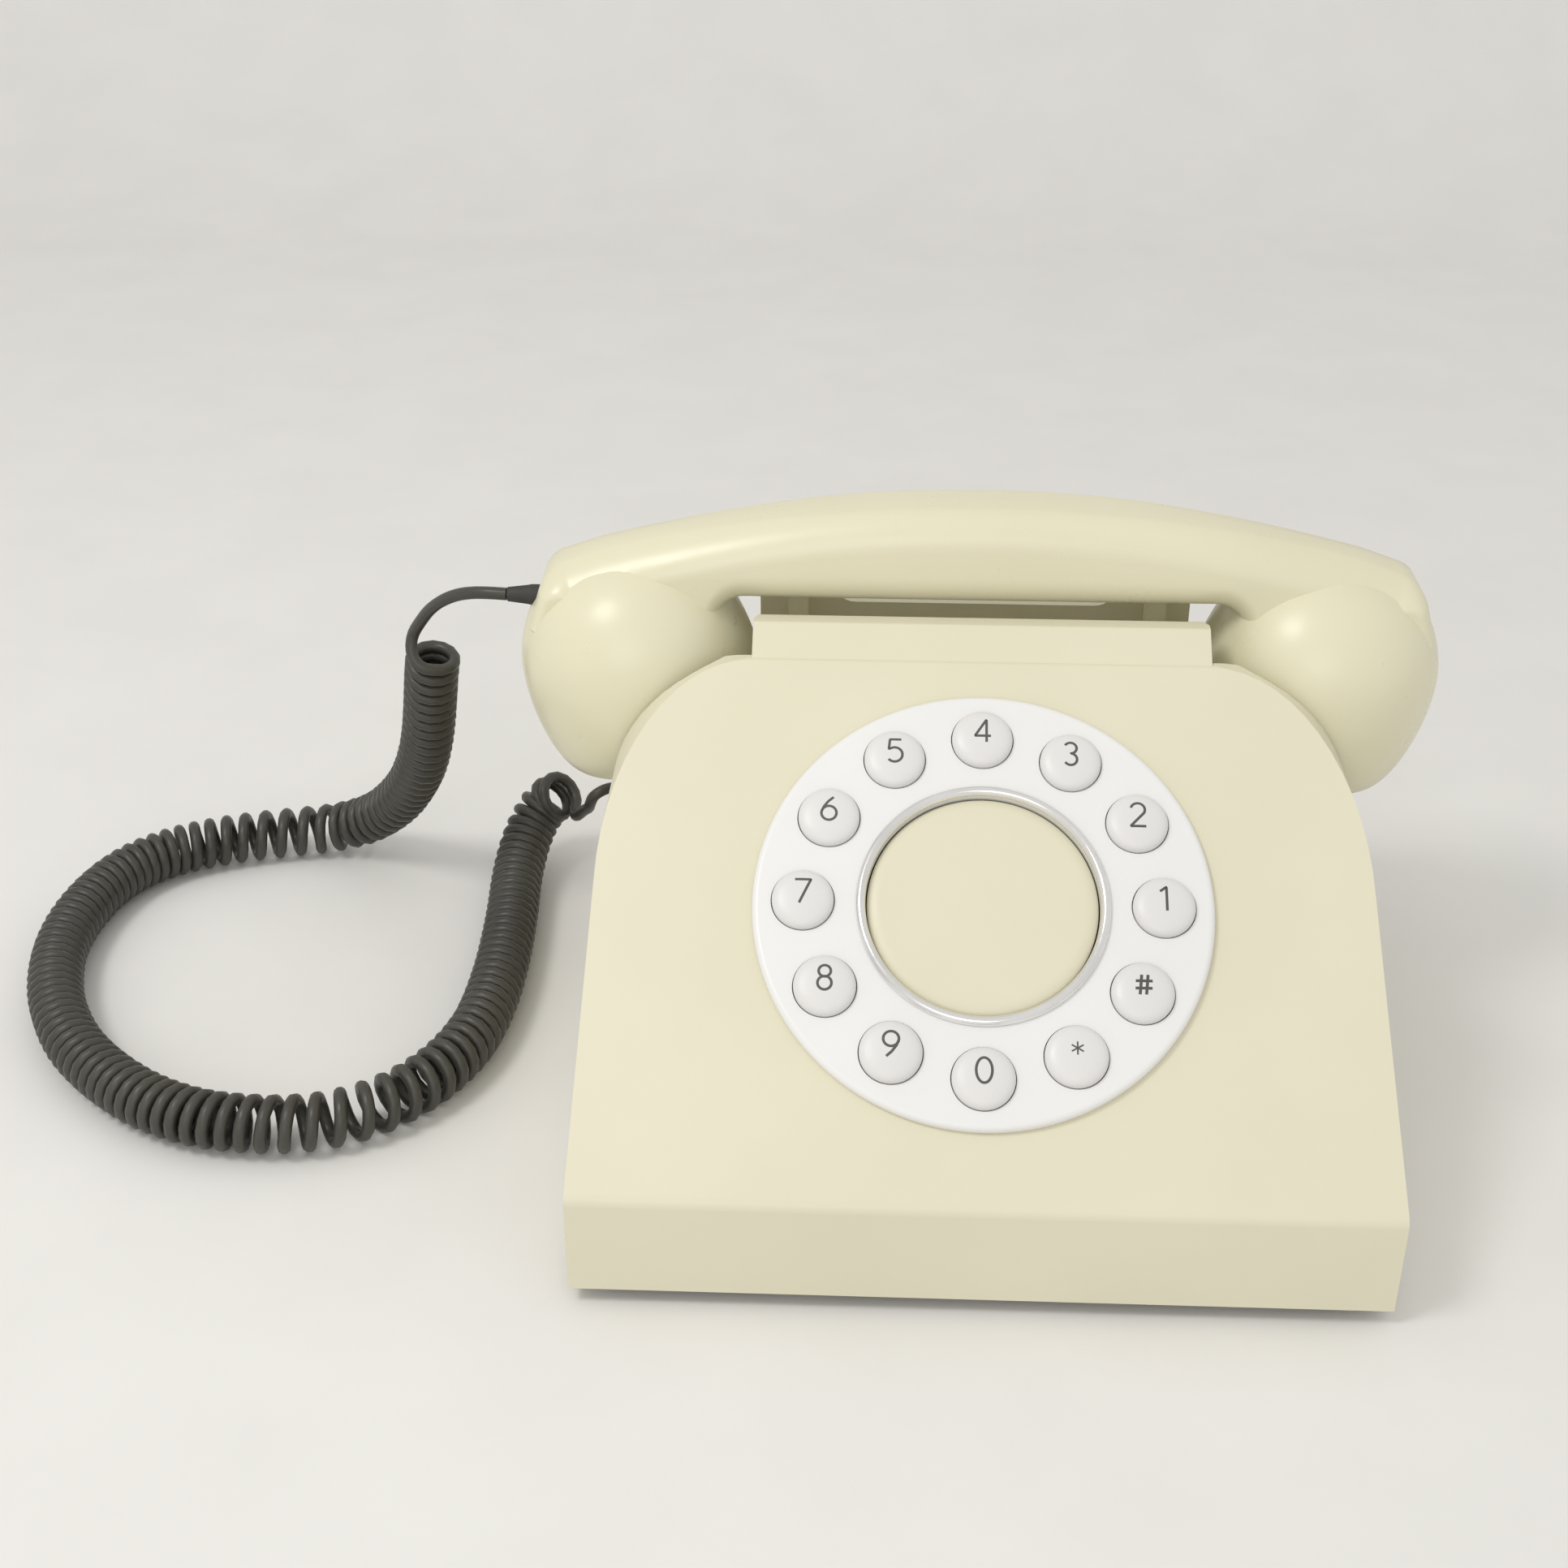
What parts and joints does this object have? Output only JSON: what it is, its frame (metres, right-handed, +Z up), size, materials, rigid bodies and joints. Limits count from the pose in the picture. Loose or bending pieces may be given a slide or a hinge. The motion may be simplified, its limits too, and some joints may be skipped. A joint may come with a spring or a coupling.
{
  "type": "telephone",
  "caption": "Desk telephone with a sloping ivory body, a ring of push buttons round a plain centre cap, a lift-off handset on a cradle and a curly cord.",
  "frame": {"origin": "on the table, under the middle of the telephone without its cord", "axes": "+X to the right of someone dialling, +Y to the back of the telephone, +Z up"},
  "size_m": [0.3645, 0.1958, 0.1385],
  "materials": {
    "ivory_plastic": "satin",
    "handset_plastic": "satin",
    "white_plastic": "satin",
    "button_plastic": "satin",
    "chrome": "polished",
    "steel": "brushed",
    "brass": "polished",
    "rubber": "matte",
    "cord_jacket": "satin",
    "circuit_board": "satin",
    "black_plastic": "satin",
    "copper": "satin"
  },
  "bodies": {
    "base": {"housing": "ivory_plastic", "base_plate": "steel", "rubber_foot_1": "rubber", "rubber_foot_2": "rubber", "rubber_foot_3": "rubber", "rubber_foot_4": "rubber", "base_screw_1": "steel", "base_screw_2": "steel", "base_screw_3": "steel", "base_screw_4": "steel", "main_board": "circuit_board", "line_jack": "black_plastic", "ringer_frame": "steel", "gong_left": "brass", "gong_right": "brass", "gong_screw_left": "steel", "gong_screw_right": "steel", "ringer_coil": "copper", "hook_pin": "steel", "hook_bracket": "steel", "hook_switch": "black_plastic", "dial_plate": "white_plastic", "dial_ring": "chrome", "centre_cap": "ivory_plastic", "keypad_frame": "black_plastic", "keypad_screw_1": "steel", "keypad_screw_2": "steel", "keypad_screw_3": "steel", "keypad_screw_4": "steel", "keypad_mat": "rubber", "keypad_board": "circuit_board", "curly_cord": "cord_jacket", "base_lead": "cord_jacket", "cord_gland": "rubber"},
    "handset": {"handset_body": "handset_plastic", "ear_cap": "handset_plastic", "mouth_cap": "handset_plastic", "receiver_capsule": "steel", "transmitter_capsule": "black_plastic", "handset_strain_relief": "rubber", "handset_lead": "cord_jacket"},
    "hook_lever": {"hook_lever": "steel"},
    "hook_plunger_left": {"hook_plunger_left": "handset_plastic"},
    "hook_plunger_right": {"hook_plunger_right": "handset_plastic"},
    "clapper": {"clapper": "brass"},
    "button_4": {"button_4": "button_plastic"},
    "button_3": {"button_3": "button_plastic"},
    "button_2": {"button_2": "button_plastic"},
    "button_1": {"button_1": "button_plastic"},
    "button_hash": {"button_hash": "button_plastic"},
    "button_star": {"button_star": "button_plastic"},
    "button_0": {"button_0": "button_plastic"},
    "button_9": {"button_9": "button_plastic"},
    "button_8": {"button_8": "button_plastic"},
    "button_7": {"button_7": "button_plastic"},
    "button_6": {"button_6": "button_plastic"},
    "button_5": {"button_5": "button_plastic"}
  },
  "joints": [
    {"name": "handset_lift", "type": "slide", "parent": "base", "child": "handset", "axis": [0, 0, 1], "range_m": [0, 0.08]},
    {"name": "hook_plunger_left_rise", "type": "slide", "parent": "base", "child": "hook_plunger_left", "axis": [0, 0, 1], "range_m": [0, 0.004]},
    {"name": "hook_plunger_right_rise", "type": "slide", "parent": "base", "child": "hook_plunger_right", "axis": [0, 0, 1], "range_m": [0, 0.004]},
    {"name": "hook_lever_turn", "type": "hinge", "parent": "base", "child": "hook_lever", "pos_m": [0, 0.02, 0.066], "axis": [1, 0, 0], "range_deg": [0, 7.92]},
    {"name": "press_4", "type": "slide", "parent": "base", "child": "button_4", "axis": [0, 0.6025, -0.7981], "range_m": [0, 0.0025], "stiffness_N_per_m": 400, "springref_m": -0.0015},
    {"name": "press_3", "type": "slide", "parent": "base", "child": "button_3", "axis": [0, 0.6025, -0.7981], "range_m": [0, 0.0025], "stiffness_N_per_m": 400, "springref_m": -0.0015},
    {"name": "press_2", "type": "slide", "parent": "base", "child": "button_2", "axis": [0, 0.6025, -0.7981], "range_m": [0, 0.0025], "stiffness_N_per_m": 400, "springref_m": -0.0015},
    {"name": "press_1", "type": "slide", "parent": "base", "child": "button_1", "axis": [0, 0.6025, -0.7981], "range_m": [0, 0.0025], "stiffness_N_per_m": 400, "springref_m": -0.0015},
    {"name": "press_hash", "type": "slide", "parent": "base", "child": "button_hash", "axis": [0, 0.6025, -0.7981], "range_m": [0, 0.0025], "stiffness_N_per_m": 400, "springref_m": -0.0015},
    {"name": "press_star", "type": "slide", "parent": "base", "child": "button_star", "axis": [0, 0.6025, -0.7981], "range_m": [0, 0.0025], "stiffness_N_per_m": 400, "springref_m": -0.0015},
    {"name": "press_0", "type": "slide", "parent": "base", "child": "button_0", "axis": [0, 0.6025, -0.7981], "range_m": [0, 0.0025], "stiffness_N_per_m": 400, "springref_m": -0.0015},
    {"name": "press_9", "type": "slide", "parent": "base", "child": "button_9", "axis": [0, 0.6025, -0.7981], "range_m": [0, 0.0025], "stiffness_N_per_m": 400, "springref_m": -0.0015},
    {"name": "press_8", "type": "slide", "parent": "base", "child": "button_8", "axis": [0, 0.6025, -0.7981], "range_m": [0, 0.0025], "stiffness_N_per_m": 400, "springref_m": -0.0015},
    {"name": "press_7", "type": "slide", "parent": "base", "child": "button_7", "axis": [0, 0.6025, -0.7981], "range_m": [0, 0.0025], "stiffness_N_per_m": 400, "springref_m": -0.0015},
    {"name": "press_6", "type": "slide", "parent": "base", "child": "button_6", "axis": [0, 0.6025, -0.7981], "range_m": [0, 0.0025], "stiffness_N_per_m": 400, "springref_m": -0.0015},
    {"name": "press_5", "type": "slide", "parent": "base", "child": "button_5", "axis": [0, 0.6025, -0.7981], "range_m": [0, 0.0025], "stiffness_N_per_m": 400, "springref_m": -0.0015},
    {"name": "clapper_swing", "type": "hinge", "parent": "base", "child": "clapper", "pos_m": [0, 0.03, 0.0176], "axis": [0, 0, 1], "range_deg": [-9, 9], "stiffness_Nm_per_rad": 0.002}
  ],
  "couplings": [
    {"joint": "hook_plunger_left_rise", "follows": "handset_lift", "ratio": 0.05},
    {"joint": "hook_plunger_right_rise", "follows": "handset_lift", "ratio": 0.05},
    {"joint": "hook_lever_turn", "follows": "handset_lift", "rad_per_m": 1.7241}
  ]
}
